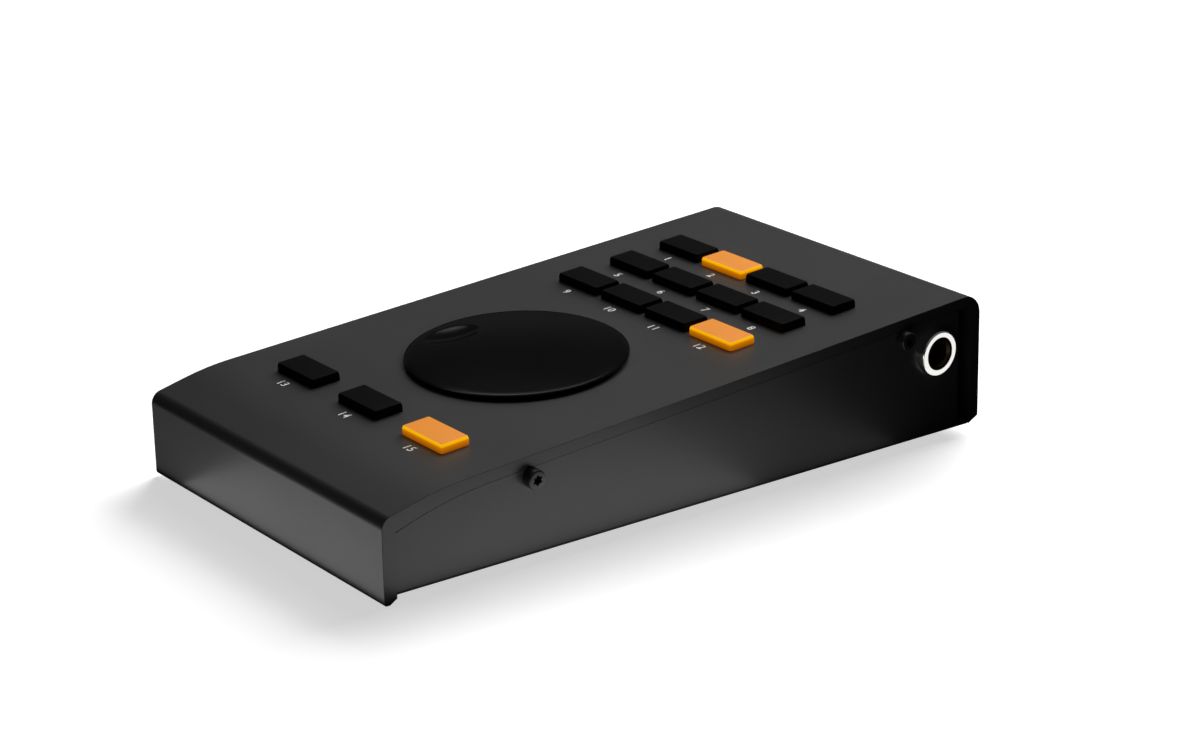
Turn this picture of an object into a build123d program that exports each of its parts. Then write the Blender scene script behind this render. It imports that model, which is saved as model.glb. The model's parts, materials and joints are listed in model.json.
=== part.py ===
from build123d import *
import os
from math import cos, sin, tan, radians

# Desktop audio remote controller: a wedge-shaped metal box with fifteen keys and a jog wheel.
# Millimetres and degrees. +X is the user's right, +Y the back, +Z up.
# The origin is on the desk, under the middle of the body.

# Body
body_width = 101.0
body_length = 198.5
foot_height = 2.5
deck_angle = 4.4
deck_height_front = 22.9
facet_angle = 14.3
facet_run = 16.5
facet_radius = 80.0
front_lean = 2.5
nose_radius = 3.2
rear_radius = 6.0

# Cover, an extruded profile
cover_wall = 3.1
cover_front_wall = 3.7
cover_rear_wall = 3.5
cover_inner_lead = 0.5
cover_inner_drop = 7.0
lip_drop = 1.8
lip_flat = 1.5
lip_round = 0.9
lip_back_rise = 1.3
rear_foot_rise = 2.1
rear_foot_inner_rise = 0.3

# Base tray
tray_wall = 2.0
tray_floor = 2.0
tray_bend = 1.2
seam_gap = 0.25
rear_slot = 4.7

# Side screws and the lugs that they pull on
screw_inset_front = 42.9
screw_jack_gap = 2.0
screw_depth = 5.5
screw_shank = 2.5
screw_thread_fit = 0.02
screw_hole_clearance = 0.1
screw_length = 8.0
screw_head = 5.0
screw_head_height = 2.8
screw_head_round = 0.4
screw_recess = 2.6
screw_recess_depth = 1.3
screw_recess_slot = 0.75
lug_width = 8.0
lug_length = 10.0
lug_height = 6.0

# Feet
foot_diameter = 10.0
foot_edge_round = 0.6
foot_inset_side = 14.0
foot_inset_front = 22.0
foot_inset_rear = 20.0

# Keys, in rows along the deck
key_gap = 1.8
grid_columns = 4
grid_rows = 3
grid_inset_rear = 35.75
front_row_run = 32.5
front_row_gap = 10.9
key_travel = 1.2
cap_width = 16.3
cap_depth = 8.3
cap_corner = 0.7
cap_rise = 2.2
cap_ridge_rise = 1.2
cap_top_inset = 0.4
cap_top_round = 0.25
cap_hole_clearance = 0.25
cap_wall = 1.3
cap_roof = 1.5
cap_flange = 0.55
cap_flange_thick = 1.0
cap_flange_gap = 0.25
plunger_side = 4.2
plunger_fit = 0.02
plunger_slide = 0.1
plunger_top_depth = 0.8
plunger_rest_length = 2.6
post_wall = 1.0
switch_width = 10.0
switch_depth = 7.2
switch_height = 5.5
switch_end_gap = 0.4

# Board, hung under the deck
board_depth = 12.0
board_thick = 1.6
board_side_gap = 1.75
board_front_run = 19.0
board_rear_gap = 2.4
board_notch_gap = 3.5
pillar_edge_inset = 4.0
pillar_front_row_gap = 14.5
pillar_grid_gap = 16.7
pillar_rear_inset = 10.0
pillar_rear_x = 10.0
pillar_diameter = 5.5
board_screw_shank = 2.4
board_screw_fit = 0.05
board_screw_reach = 5.0
board_screw_head = 4.5
board_screw_head_height = 1.8
led_width = 1.6
led_length = 3.0
led_height = 1.0
led_gap = 1.1
chip_side = 14.0
chip_height = 1.4
chip_run = 100.0

# Jog wheel, which fills the space between the key rows, and its encoder
wheel_front_gap = 12.55
wheel_rear_gap = 12.75
wheel_gap = 0.6
wheel_under_inset = 1.0
wheel_rim_low = 1.0
wheel_rim_high = 1.1
wheel_edge_inset = 0.8
wheel_edge_rise = 1.6
wheel_crown_rise = 2.9
dimple_turn = 197.6
dimple_edge_gap = 1.14
dimple_radius = 6.8
dimple_depth = 1.1
hub_diameter = 13.0
hub_bushing_gap = 0.4
hub_hole_clearance = 0.5
shaft_diameter = 6.0
shaft_running_clearance = 0.05
shaft_press_fit = 0.02
wheel_roof = 1.5
encoder_side = 14.0
encoder_height = 5.0
bushing_diameter = 9.0
bushing_height = 2.4
bushing_floor = 2.4
shaft_end_gap = 0.2

# Jack for a 6.35 mm plug, on the right side
jack_rear_gap = 1.1
jack_depth = 12.65
jack_bore = 6.5
jack_mouth_chamfer = 0.35
jack_bushing_diameter = 9.0
jack_bushing_seat = 3.0
jack_hole_clearance = 0.2
jack_body_along = 11.0
jack_body_high = 14.0
jack_body_deep = 20.0
jack_bore_floor = 2.0
jack_nut_diameter = 12.4
jack_nut_thick = 1.4
jack_washer_diameter = 12.0
jack_washer_thick = 0.3
jack_nut_round = 0.4
jack_thread_fit = 0.02
jack_sleeve_wall = 0.5
jack_sleeve_length = 7.0
jack_sleeve_inset = 5.0
lead_diameter = 1.0
lead_rise = 2.2
lead_run = 7.0
lead_bend = 1.4
lead_pitch = 2.8

# Data socket, under the board and through the rear walls
socket_inset_side = 25.0
socket_width = 12.0
socket_height = 10.8
socket_deep = 18.0
socket_wall = 0.6
socket_proud = 1.2
socket_window_clearance = 0.4
socket_core_floor = 6.0
socket_tongue_width = 5.6
socket_tongue_height = 3.2
socket_tongue_back = 1.5
rear_window_margin = 1.6

# Worked-out places
tilt = radians(deck_angle)
lean = radians(front_lean)
facet = radians(facet_angle)
nose_turn = radians(90.0 - front_lean + facet_angle)
nose_tangent = nose_radius / tan(nose_turn / 2)
nose_setback = nose_tangent * sin(lean) + nose_radius * (cos(lean) - 1)
nose_y = -body_length / 2 - nose_setback
tray_bottom = foot_height
deck_front_z = tray_bottom + deck_height_front
deck = Plane(origin=(0, nose_y, deck_front_z), x_dir=(1, 0, 0), z_dir=(0, -sin(tilt), cos(tilt)))
rear_foot_z = tray_bottom + rear_foot_rise
rear_run = (body_length / 2 - nose_y) * cos(tilt) + (rear_foot_z - deck_front_z) * sin(tilt)
rear_inner_run = rear_run - cover_rear_wall
tray_rear_run = rear_inner_run - rear_slot
tray_side_x = body_width / 2 - tray_wall
jack_run = tray_rear_run - tray_wall - jack_rear_gap - jack_body_along / 2
screw_rear_run = jack_run - jack_body_along / 2 - screw_jack_gap - lug_length / 2
screw_runs = (screw_inset_front, screw_rear_run)
lug_x = tray_side_x - seam_gap - lug_width / 2
cap_under = cover_wall + cap_flange_gap + cap_flange_thick
cover_inner_run = front_row_run - cover_inner_lead
hub_length = wheel_gap + board_depth - encoder_height - bushing_height - hub_bushing_gap
shaft_top = wheel_crown_rise - wheel_roof
key_pitch = cap_width + key_gap
grid_rear_run = rear_run - grid_inset_rear
grid_xs = [(column - (grid_columns - 1) / 2) * key_pitch for column in range(grid_columns)]
grid_runs = [grid_rear_run - row * key_pitch for row in range(grid_rows)]
wheel_front_run = front_row_run + cap_depth / 2 + wheel_front_gap
wheel_rear_run = grid_runs[-1] - cap_depth / 2 - wheel_rear_gap
wheel_run = (wheel_front_run + wheel_rear_run) / 2
wheel_radius = (wheel_rear_run - wheel_front_run) / 2
key_places = [(x, run) for run in grid_runs for x in grid_xs]
front_row_pitch = cap_width + front_row_gap
key_places += [(step * front_row_pitch, front_row_run) for step in (-1, 0, 1)]
jack_inner_x = tray_side_x - jack_body_deep
jack_mouth = jack_bore + 2 * jack_mouth_chamfer
jack_sleeve_start = -tray_wall - jack_sleeve_length - jack_sleeve_inset
board_bottom_depth = board_depth + board_thick
board_half_width = lug_x - lug_width / 2 - board_side_gap
board_rear_run = tray_rear_run - tray_wall - board_rear_gap
board_notch_x = jack_inner_x - board_notch_gap
board_notch_run = jack_run - jack_body_along / 2 - board_notch_gap
pillar_edge_x = board_half_width - pillar_edge_inset
pillar_front_run = front_row_run + pillar_front_row_gap
pillar_middle_run = grid_runs[-1] - pillar_grid_gap
pillar_rear_run = board_rear_run - pillar_rear_inset
pillar_places = ((pillar_edge_x, pillar_front_run), (pillar_edge_x, pillar_middle_run),
                 (pillar_rear_x, pillar_rear_run))
pillar_centres = [(side * x, run) for x, run in pillar_places for side in (-1, 1)]
socket_x = socket_inset_side - body_width / 2
socket_middle = -board_bottom_depth - socket_height / 2
socket_centre_run = tray_rear_run + socket_proud - socket_deep / 2
ON_TOP = (Align.CENTER, Align.CENTER, Align.MIN)
HANGING = (Align.CENTER, Align.CENTER, Align.MAX)


def on_deck(shape):
    """Carry a shape from deck axes (across, along, above the top face) to the part's axes."""
    return deck.location * shape


def deck_point(run, rise=0.0):
    """Y and Z of the point that lies run along the deck and rise above its top face."""
    y = nose_y + run * cos(tilt) - rise * sin(tilt)
    z = deck_front_z + run * sin(tilt) + rise * cos(tilt)
    return y, z


def rear_point(run, z):
    """Y and Z of the point at height z on the plane square to the deck at run."""
    return nose_y + run / cos(tilt) - (z - deck_front_z) * tan(tilt), z


def front_point(depth, z):
    """Y and Z of the point at height z, depth behind the outer face of the front wall."""
    return nose_y + depth / cos(lean) + (nose_z - z) * tan(lean), z


bend_y, bend_z = deck_point(facet_run)
nose_z = bend_z - (bend_y - nose_y) * tan(facet)


def profile(*edges):
    """Solid of the body's full width from the edges of its closed side outline."""
    return extrude(Plane.YZ * make_face(Curve() + list(edges)), amount=body_width / 2, both=True)


def edge_near(shape, y, z):
    """The edge across the body that passes closest to a point of the side outline."""
    edges = shape.edges().filter_by(Axis.X)
    return edges.sort_by(lambda edge: (edge.center().Y - y) ** 2 + (edge.center().Z - z) ** 2)[0]


def top_cover():
    lip_z = tray_bottom - lip_drop
    lip_front = front_point(0, lip_z)
    lip_back = (lip_front[0] + lip_flat, lip_z)
    inner_foot = front_point(cover_front_wall, lip_z + lip_back_rise)
    inner_nose_z = deck_point(cover_front_wall)[1] - cover_inner_drop
    inner_nose = front_point(cover_front_wall, inner_nose_z)
    inner_bend = deck_point(cover_inner_run, -cover_wall)
    rear_inner_top = deck_point(rear_inner_run, -cover_wall)
    rear_inner_foot = rear_point(rear_inner_run, tray_bottom + rear_foot_inner_rise)
    rear_foot = rear_point(rear_run, rear_foot_z)
    rear_top = deck_point(rear_run)
    cover = profile(
        Polyline(inner_bend, rear_inner_top, rear_inner_foot, rear_foot, rear_top, (bend_y, bend_z),
                 (nose_y, nose_z), lip_front, lip_back, inner_foot, inner_nose),
        TangentArc(inner_bend, inner_nose, tangent=(-cos(tilt), -sin(tilt))),
    )
    cover = fillet(edge_near(cover, bend_y, bend_z), facet_radius)
    cover = fillet(edge_near(cover, nose_y, nose_z), nose_radius)
    cover = fillet(edge_near(cover, *rear_top), rear_radius)
    cover = fillet(edge_near(cover, *lip_front), lip_round)

    for run in screw_runs:
        for side in (-1, 1):
            lug = Box(lug_width, lug_length, lug_height, align=HANGING)
            cover += on_deck(Pos(side * lug_x, run, -cover_wall) * lug)
            thread = Cylinder(screw_shank / 2 + screw_thread_fit, lug_width, rotation=(0, 90, 0))
            cover -= on_deck(Pos(side * lug_x, run, -screw_depth) * thread)

    hole_width = cap_width + 2 * cap_hole_clearance
    hole_depth = cap_depth + 2 * cap_hole_clearance
    hole = RectangleRounded(hole_width, hole_depth, cap_corner + cap_hole_clearance)
    hole = extrude(hole, amount=2 * cover_wall, both=True)
    for x, run in key_places:
        cover -= on_deck(Pos(x, run, 0) * hole)
    hub_hole = Cylinder(hub_diameter / 2 + hub_hole_clearance, 4 * cover_wall)
    cover -= on_deck(Pos(0, wheel_run, 0) * hub_hole)
    cover -= socket_window(rear_inner_run - rear_slot / 2, rear_run + cover_rear_wall, rear_window_margin)
    return cover


def socket_window(start_run, end_run, margin):
    """Cutter round the data socket's outline, from one run along the deck to another."""
    cutter = Box(socket_width + 2 * margin, end_run - start_run, socket_height + 2 * margin)
    return on_deck(Pos(socket_x, (start_run + end_run) / 2, socket_middle) * cutter)


def base_tray():
    # Outer block under the cover, one seam gap inside it all round
    front_depth = cover_front_wall + seam_gap
    under = cover_wall + seam_gap
    inner_nose_z = deck_point(cover_front_wall)[1] - cover_inner_drop - seam_gap
    front_foot = front_point(front_depth, tray_bottom)
    front_top = front_point(front_depth, inner_nose_z)
    top_bend = deck_point(cover_inner_run, -under)
    rear_top = deck_point(tray_rear_run, -under)
    rear_foot = rear_point(tray_rear_run, tray_bottom)
    tray = profile(
        Polyline(top_bend, rear_top, rear_foot, front_foot, front_top),
        TangentArc(top_bend, front_top, tangent=(-cos(tilt), -sin(tilt))),
    )
    floor_end = rear_point(rear_inner_run - seam_gap, tray_bottom)
    floor_end_top = rear_point(rear_inner_run - seam_gap, tray_bottom + tray_floor)
    floor_start_top = rear_point(tray_rear_run - tray_wall, tray_bottom + tray_floor)
    floor_start = rear_point(tray_rear_run - tray_wall, tray_bottom)
    tray += profile(Polyline(floor_start, floor_end, floor_end_top, floor_start_top, close=True))

    # Pocket, open at the top
    floor_z = tray_bottom + tray_floor
    open_z = 2 * deck_point(rear_run)[1]
    pocket = make_face(Polyline(
        front_point(front_depth + tray_wall, floor_z), front_point(front_depth + tray_wall, open_z),
        rear_point(tray_rear_run - tray_wall, open_z), rear_point(tray_rear_run - tray_wall, floor_z),
        close=True))
    tray -= extrude(Plane.YZ * pocket, amount=tray_side_x, both=True)
    bends = [edge for edge in tray.edges().filter_by(Axis.Y)
             if abs(edge.center().Z - tray_bottom) < tray_bend / 2
             and abs(abs(edge.center().X) - body_width / 2) < tray_bend / 2]
    tray = fillet(bends, tray_bend)

    # Holes for the side screws, the jack and the data socket
    screw_hole = Cylinder(screw_shank / 2 + screw_hole_clearance, 2 * body_width, rotation=(0, 90, 0))
    for run in screw_runs:
        tray -= on_deck(Pos(0, run, -screw_depth) * screw_hole)
    jack_hole = Cylinder(jack_bushing_diameter / 2 + jack_hole_clearance, 4 * tray_wall, rotation=(0, 90, 0))
    tray -= on_deck(Pos(body_width / 2, jack_run, -jack_depth) * jack_hole)
    tray -= socket_window(tray_rear_run - 2 * tray_wall, tray_rear_run + tray_wall,
                          socket_window_clearance)
    return tray


def side_screws():
    shank = Cylinder(screw_shank / 2, screw_length, align=HANGING)
    head = Cylinder(screw_head / 2, screw_head_height, align=ON_TOP)
    head = fillet(head.edges().sort_by(Axis.Z)[-1], screw_head_round)
    for turn in (0, 60, 120):
        slot = Box(screw_recess, screw_recess_slot, screw_recess_depth, align=HANGING)
        head -= Pos(0, 0, screw_head_height) * Rot(0, 0, turn) * slot
    screw = shank + head
    placed = []
    for run in screw_runs:
        for side in (-1, 1):
            seat = Pos(side * body_width / 2, run, -screw_depth)
            placed.append(on_deck(seat * Rot(0, 90 * side, 0) * screw))
    return Compound(placed)


def rubber_feet():
    foot = Cylinder(foot_diameter / 2, foot_height, align=ON_TOP)
    foot = fillet(foot.edges().sort_by(Axis.Z)[0], foot_edge_round)
    front_y = -body_length / 2 + foot_inset_front
    rear_y = body_length / 2 - foot_inset_rear
    foot_x = body_width / 2 - foot_inset_side
    return Compound([Pos(x, y, 0) * foot for x in (-foot_x, foot_x) for y in (front_y, rear_y)])


def key_cap():
    """One hollow cap at the deck axes' origin, with the block that takes its plunger."""
    body = RectangleRounded(cap_width, cap_depth, cap_corner)
    top_width = cap_width - 2 * cap_top_inset
    top_depth = cap_depth - 2 * cap_top_inset
    top = RectangleRounded(top_width, top_depth, cap_corner)
    flange = RectangleRounded(cap_width + 2 * cap_flange, cap_depth + 2 * cap_flange, cap_corner)
    cap = Pos(0, 0, -cap_under) * extrude(body, amount=cap_under + cap_ridge_rise)
    cap += loft([Pos(0, 0, cap_ridge_rise) * body, Pos(0, 0, cap_rise) * top], ruled=True)
    cap = fillet(cap.faces().sort_by(Axis.Z)[-1].edges(), cap_top_round)
    cap += Pos(0, 0, -cap_under) * extrude(flange, amount=cap_flange_thick)
    post_half = plunger_side / 2 + plunger_fit + post_wall
    hollow_width = cap_width / 2 - cap_wall - post_half
    hollow = Box(hollow_width, cap_depth - 2 * cap_wall, cap_under + cap_rise - cap_roof, align=ON_TOP)
    for side in (-1, 1):
        cap -= Pos(side * (post_half + hollow_width / 2), 0, -cap_under) * hollow
    pocket_side = plunger_side + 2 * plunger_fit
    pocket = Box(pocket_side, pocket_side, cap_under - plunger_top_depth, align=ON_TOP)
    return cap - Pos(0, 0, -cap_under) * pocket


def key_plunger():
    """One square plunger at the deck axes' origin, from the cap's pocket into its switch."""
    length = board_depth - switch_height + plunger_rest_length - plunger_top_depth
    return Pos(0, 0, -plunger_top_depth) * Box(plunger_side, plunger_side, length, align=HANGING)


def switch_housings():
    housing = Box(switch_width, switch_depth, switch_height, align=ON_TOP)
    bore_side = plunger_side + 2 * plunger_slide
    bore_depth = plunger_rest_length + key_travel + switch_end_gap
    housing -= Pos(0, 0, switch_height) * Box(bore_side, bore_side, bore_depth, align=HANGING)
    return Compound([on_deck(Pos(x, run, -board_depth) * housing) for x, run in key_places])


def indicator_leds():
    led = Box(led_width, led_length, led_height, align=ON_TOP)
    led_x = switch_width / 2 + led_gap + led_width / 2
    return Compound([on_deck(Pos(x + led_x, run, -board_depth) * led) for x, run in key_places])


def main_board():
    length = board_rear_run - board_front_run
    middle = (board_rear_run + board_front_run) / 2
    board = Pos(0, middle, -board_depth) * Box(2 * board_half_width, length, board_thick, align=HANGING)
    notch_width = board_half_width - board_notch_x
    notch_length = board_rear_run - board_notch_run
    notch = Box(notch_width, notch_length, 4 * board_thick)
    board -= Pos(board_notch_x + notch_width / 2, board_notch_run + notch_length / 2, -board_depth) * notch
    hole = Cylinder(board_screw_shank / 2 + screw_hole_clearance, 4 * board_thick)
    for x, run in pillar_centres:
        board -= Pos(x, run, -board_depth) * hole
    return on_deck(board)


def board_pillars():
    height = board_depth - cover_wall
    pillar = Cylinder(pillar_diameter / 2, height, align=HANGING)
    pillar -= Cylinder(board_screw_shank / 2 + board_screw_fit, 4 * height)
    return Compound([on_deck(Pos(x, run, -cover_wall) * pillar) for x, run in pillar_centres])


def board_screws():
    shank = Cylinder(board_screw_shank / 2, board_thick + board_screw_reach, align=ON_TOP)
    head = Cylinder(board_screw_head / 2, board_screw_head_height, align=HANGING)
    screw = shank + head
    return Compound([on_deck(Pos(x, run, -board_bottom_depth) * screw) for x, run in pillar_centres])


def controller_chip():
    chip = Box(chip_side, chip_side, chip_height, align=HANGING)
    return on_deck(Pos(0, chip_run, -board_bottom_depth) * chip)


def encoder_body():
    body = Box(encoder_side, encoder_side, encoder_height, align=ON_TOP)
    body += Pos(0, 0, encoder_height) * Cylinder(bushing_diameter / 2, bushing_height, align=ON_TOP)
    bore = Cylinder(shaft_diameter / 2 + shaft_running_clearance, 2 * encoder_height, align=ON_TOP)
    return on_deck(Pos(0, wheel_run, -board_depth) * (body - Pos(0, 0, bushing_floor) * bore))


def encoder_shaft():
    bottom = -board_depth + bushing_floor + shaft_end_gap
    shaft = Cylinder(shaft_diameter / 2, shaft_top - bottom, align=ON_TOP)
    return on_deck(Pos(0, wheel_run, bottom) * shaft)


def jog_wheel():
    edge_radius = wheel_radius - wheel_edge_inset
    low_radius = wheel_radius - wheel_under_inset
    crown_middle = wheel_crown_rise - (wheel_crown_rise - wheel_edge_rise) / 4
    section = Curve() + [
        Polyline((0, wheel_crown_rise), (0, wheel_gap), (low_radius, wheel_gap),
                 (wheel_radius, wheel_rim_low), (wheel_radius, wheel_rim_high),
                 (edge_radius, wheel_edge_rise)),
        ThreePointArc((edge_radius, wheel_edge_rise), (edge_radius / 2, crown_middle),
                      (0, wheel_crown_rise)),
    ]
    wheel = revolve(Plane.XZ * make_face(section), axis=Axis.Z)
    wheel += Pos(0, 0, wheel_gap) * Cylinder(hub_diameter / 2, hub_length, align=HANGING)
    bore_start = wheel_gap - hub_length
    bore = Cylinder(shaft_diameter / 2 + shaft_press_fit, shaft_top - bore_start, align=ON_TOP)
    wheel -= Pos(0, 0, bore_start) * bore
    off_centre = edge_radius - dimple_edge_gap - dimple_radius
    crown_fall = (wheel_crown_rise - wheel_edge_rise) * (off_centre / edge_radius) ** 2
    dimple_sphere = (dimple_radius ** 2 + dimple_depth ** 2) / (2 * dimple_depth)
    dimple_height = wheel_crown_rise - crown_fall + dimple_sphere - dimple_depth
    wheel -= Rot(0, 0, dimple_turn) * Pos(off_centre, 0, dimple_height) * Sphere(dimple_sphere)
    return on_deck(Pos(0, wheel_run, 0) * wheel)


def at_jack(shape):
    """Carry a shape whose +Z leaves the jack's mouth, from the wall's outer face, to its place."""
    return on_deck(Pos(body_width / 2, jack_run, -jack_depth) * Rot(0, 90, 0) * shape)


def jack_body():
    body = Pos(0, 0, -tray_wall) * Box(jack_body_high, jack_body_along, jack_body_deep, align=HANGING)
    bore = Cylinder(jack_bore / 2, jack_body_deep - jack_bore_floor, align=HANGING)
    body -= Pos(0, 0, -tray_wall) * bore
    seat = Cylinder(jack_bushing_diameter / 2 + jack_thread_fit, jack_bushing_seat, align=HANGING)
    body -= Pos(0, 0, -tray_wall) * seat
    sleeve_room = Cylinder(jack_bore / 2 + jack_sleeve_wall, jack_sleeve_length, align=ON_TOP)
    return at_jack(body - Pos(0, 0, jack_sleeve_start) * sleeve_room)


def jack_bushing():
    proud = jack_washer_thick + jack_nut_thick
    length = jack_bushing_seat + tray_wall + proud
    bushing = Cylinder(jack_bushing_diameter / 2, length, align=HANGING)
    bushing -= Cylinder(jack_bore / 2, 4 * length)
    bushing -= Cone(jack_bore / 2, jack_mouth / 2, jack_mouth_chamfer, align=HANGING)
    return at_jack(Pos(0, 0, proud) * bushing)


def jack_sleeve():
    sleeve = Cylinder(jack_bore / 2 + jack_sleeve_wall, jack_sleeve_length, align=ON_TOP)
    sleeve -= Cylinder(jack_bore / 2, 4 * jack_sleeve_length)
    return at_jack(Pos(0, 0, jack_sleeve_start) * sleeve)


def jack_washer():
    washer = Cylinder(jack_washer_diameter / 2, jack_washer_thick, align=ON_TOP)
    return at_jack(washer - Cylinder(jack_bushing_diameter / 2 + jack_thread_fit, 4 * jack_washer_thick))


def jack_nut():
    nut = Cylinder(jack_nut_diameter / 2, jack_nut_thick, align=ON_TOP)
    nut = fillet(nut.edges().sort_by(Axis.Z)[-1], jack_nut_round)
    nut -= Cylinder(jack_bushing_diameter / 2 + jack_thread_fit, 4 * jack_nut_thick)
    return at_jack(Pos(0, 0, jack_washer_thick) * nut)


def jack_leads():
    leads = []
    for step in (-1, 0, 1):
        run = jack_run + step * lead_pitch
        start = (jack_inner_x, run, -board_depth + lead_rise)
        corner = (jack_inner_x - lead_run, run, -board_depth + lead_rise)
        end = (jack_inner_x - lead_run, run, -board_depth)
        path = FilletPolyline(start, corner, end, radius=lead_bend)
        section = Plane(origin=start, z_dir=(-1, 0, 0)) * Circle(lead_diameter / 2)
        leads.append(on_deck(sweep(section, path=path)))
    return Compound(leads)


def data_socket_shell():
    shell = Box(socket_width, socket_deep, socket_height)
    inner = Box(socket_width - 2 * socket_wall, socket_deep, socket_height - 2 * socket_wall)
    return on_deck(Pos(socket_x, socket_centre_run, socket_middle) * (shell - Pos(0, socket_wall, 0) * inner))


def data_socket_core():
    inner_width = socket_width - 2 * socket_wall
    inner_height = socket_height - 2 * socket_wall
    back_run = socket_centre_run - socket_deep / 2 + socket_wall
    floor = Box(inner_width, socket_core_floor, inner_height, align=(Align.CENTER, Align.MIN, Align.CENTER))
    tongue_length = socket_deep - socket_wall - socket_tongue_back
    tongue = Box(socket_tongue_width, tongue_length, socket_tongue_height,
                 align=(Align.CENTER, Align.MIN, Align.CENTER))
    return on_deck(Pos(socket_x, back_run, socket_middle) * (floor + tongue))


nodes = {
    "top_cover": top_cover(),
    "base_tray": base_tray(),
    "side_screws": side_screws(),
    "rubber_feet": rubber_feet(),
    "main_board": main_board(),
    "board_pillars": board_pillars(),
    "board_screws": board_screws(),
    "controller_chip": controller_chip(),
    "switch_housings": switch_housings(),
    "indicator_leds": indicator_leds(),
    "encoder_body": encoder_body(),
    "encoder_shaft": encoder_shaft(),
    "jog_wheel": jog_wheel(),
    "jack_body": jack_body(),
    "jack_bushing": jack_bushing(),
    "jack_sleeve": jack_sleeve(),
    "jack_washer": jack_washer(),
    "jack_nut": jack_nut(),
    "jack_leads": jack_leads(),
    "data_socket_shell": data_socket_shell(),
    "data_socket_core": data_socket_core(),
}
cap = key_cap()
plunger = key_plunger()
for number, (x, run) in enumerate(key_places, start=1):
    nodes[f"key_cap_{number:02d}"] = on_deck(Pos(x, run, 0) * cap)
    nodes[f"key_plunger_{number:02d}"] = on_deck(Pos(x, run, 0) * plunger)

os.makedirs("parts", exist_ok=True)
for name, shape in nodes.items():
    export_step(shape, f"parts/{name}.step")
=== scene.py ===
import json
from math import cos, hypot, pi, radians, sin

import bmesh
import bpy
from mathutils import Matrix, Vector


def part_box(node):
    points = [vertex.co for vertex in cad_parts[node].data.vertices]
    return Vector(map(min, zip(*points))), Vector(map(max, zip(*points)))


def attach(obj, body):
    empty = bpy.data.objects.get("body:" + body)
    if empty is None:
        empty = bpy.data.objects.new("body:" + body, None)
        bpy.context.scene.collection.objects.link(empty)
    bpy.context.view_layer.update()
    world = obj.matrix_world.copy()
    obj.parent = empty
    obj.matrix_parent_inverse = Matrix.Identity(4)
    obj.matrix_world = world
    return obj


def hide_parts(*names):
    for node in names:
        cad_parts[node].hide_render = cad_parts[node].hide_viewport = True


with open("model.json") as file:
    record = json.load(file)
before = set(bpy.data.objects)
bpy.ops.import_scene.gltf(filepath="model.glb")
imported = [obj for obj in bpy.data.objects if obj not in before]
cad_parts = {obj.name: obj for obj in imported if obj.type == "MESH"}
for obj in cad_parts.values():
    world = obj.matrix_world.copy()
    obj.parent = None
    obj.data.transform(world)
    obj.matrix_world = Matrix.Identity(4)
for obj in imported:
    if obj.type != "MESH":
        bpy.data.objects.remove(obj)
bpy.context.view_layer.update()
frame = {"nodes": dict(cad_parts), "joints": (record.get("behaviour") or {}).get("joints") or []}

# Top cover
# One length of extruded aluminium, cut off at the body's width, milled for the keys and the wheel
# and anodised satin black. It is the deck, the front wall and the rear wall in one piece.
mm = 0.001
weld = 0.001 * mm
soft_turn = radians(32)
side_edge_round = 0.14 * mm
sharp_turn = radians(40)
flat_turn = radians(0.2)
case_middle = 15.0 * mm
body_half_width = max(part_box("top_cover")[1].x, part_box("base_tray")[1].x)


def add(tree, kind, inputs=None, **settings):
    """Place a node in a tree, then set or link its inputs by name or number."""
    node = tree.nodes.new(kind)
    for setting, value in settings.items():
        setattr(node, setting, value)
    for socket, value in (inputs or {}).items():
        if isinstance(value, bpy.types.NodeSocket):
            tree.links.new(value, node.inputs[socket])
        else:
            node.inputs[socket].default_value = value
    return node


def make_grain_group():
    """Shader group for a blasted or moulded skin: fine grain, and slow patches from handling."""
    group = bpy.data.node_groups.new("blasted_grain", "ShaderNodeTree")
    sockets = (("Color", "NodeSocketColor"), ("Color Spread", "NodeSocketFloat"),
               ("Roughness", "NodeSocketFloat"), ("Roughness Spread", "NodeSocketFloat"),
               ("Grain", "NodeSocketFloat"), ("Patches", "NodeSocketFloat"))
    for label, kind in sockets:
        group.interface.new_socket(label, in_out="INPUT", socket_type=kind)
    for label, kind in (("Color", "NodeSocketColor"), ("Roughness", "NodeSocketFloat"),
                        ("Height", "NodeSocketFloat")):
        group.interface.new_socket(label, in_out="OUTPUT", socket_type=kind)
    entry = add(group, "NodeGroupInput").outputs
    place = add(group, "ShaderNodeTexCoord").outputs["Object"]
    grain = add(group, "ShaderNodeTexNoise",
                {"Vector": place, "Scale": entry["Grain"], "Detail": 2.0, "Roughness": 0.6})
    patches = add(group, "ShaderNodeTexNoise",
                  {"Vector": place, "Scale": entry["Patches"], "Detail": 4.0, "Distortion": 0.4})
    both = add(group, "ShaderNodeMath", {0: grain.outputs["Fac"], 1: patches.outputs["Fac"]},
               operation="ADD")
    swing = add(group, "ShaderNodeMath", {0: both.outputs[0], 1: 1.0}, operation="SUBTRACT")
    tint = add(group, "ShaderNodeMath",
               {0: swing.outputs[0], 1: entry["Color Spread"], 2: 1.0}, operation="MULTIPLY_ADD")
    colour = add(group, "ShaderNodeVectorMath", {0: entry["Color"], "Scale": tint.outputs[0]},
                 operation="SCALE")
    centred = add(group, "ShaderNodeMath", {0: patches.outputs["Fac"], 1: 0.5}, operation="SUBTRACT")
    roughness = add(group, "ShaderNodeMath",
                    {0: centred.outputs[0], 1: entry["Roughness Spread"], 2: entry["Roughness"]},
                    operation="MULTIPLY_ADD")
    add(group, "NodeGroupOutput", {"Color": colour.outputs[0], "Roughness": roughness.outputs[0],
                                   "Height": grain.outputs["Fac"]})
    return group


grain_group = make_grain_group()


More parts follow.
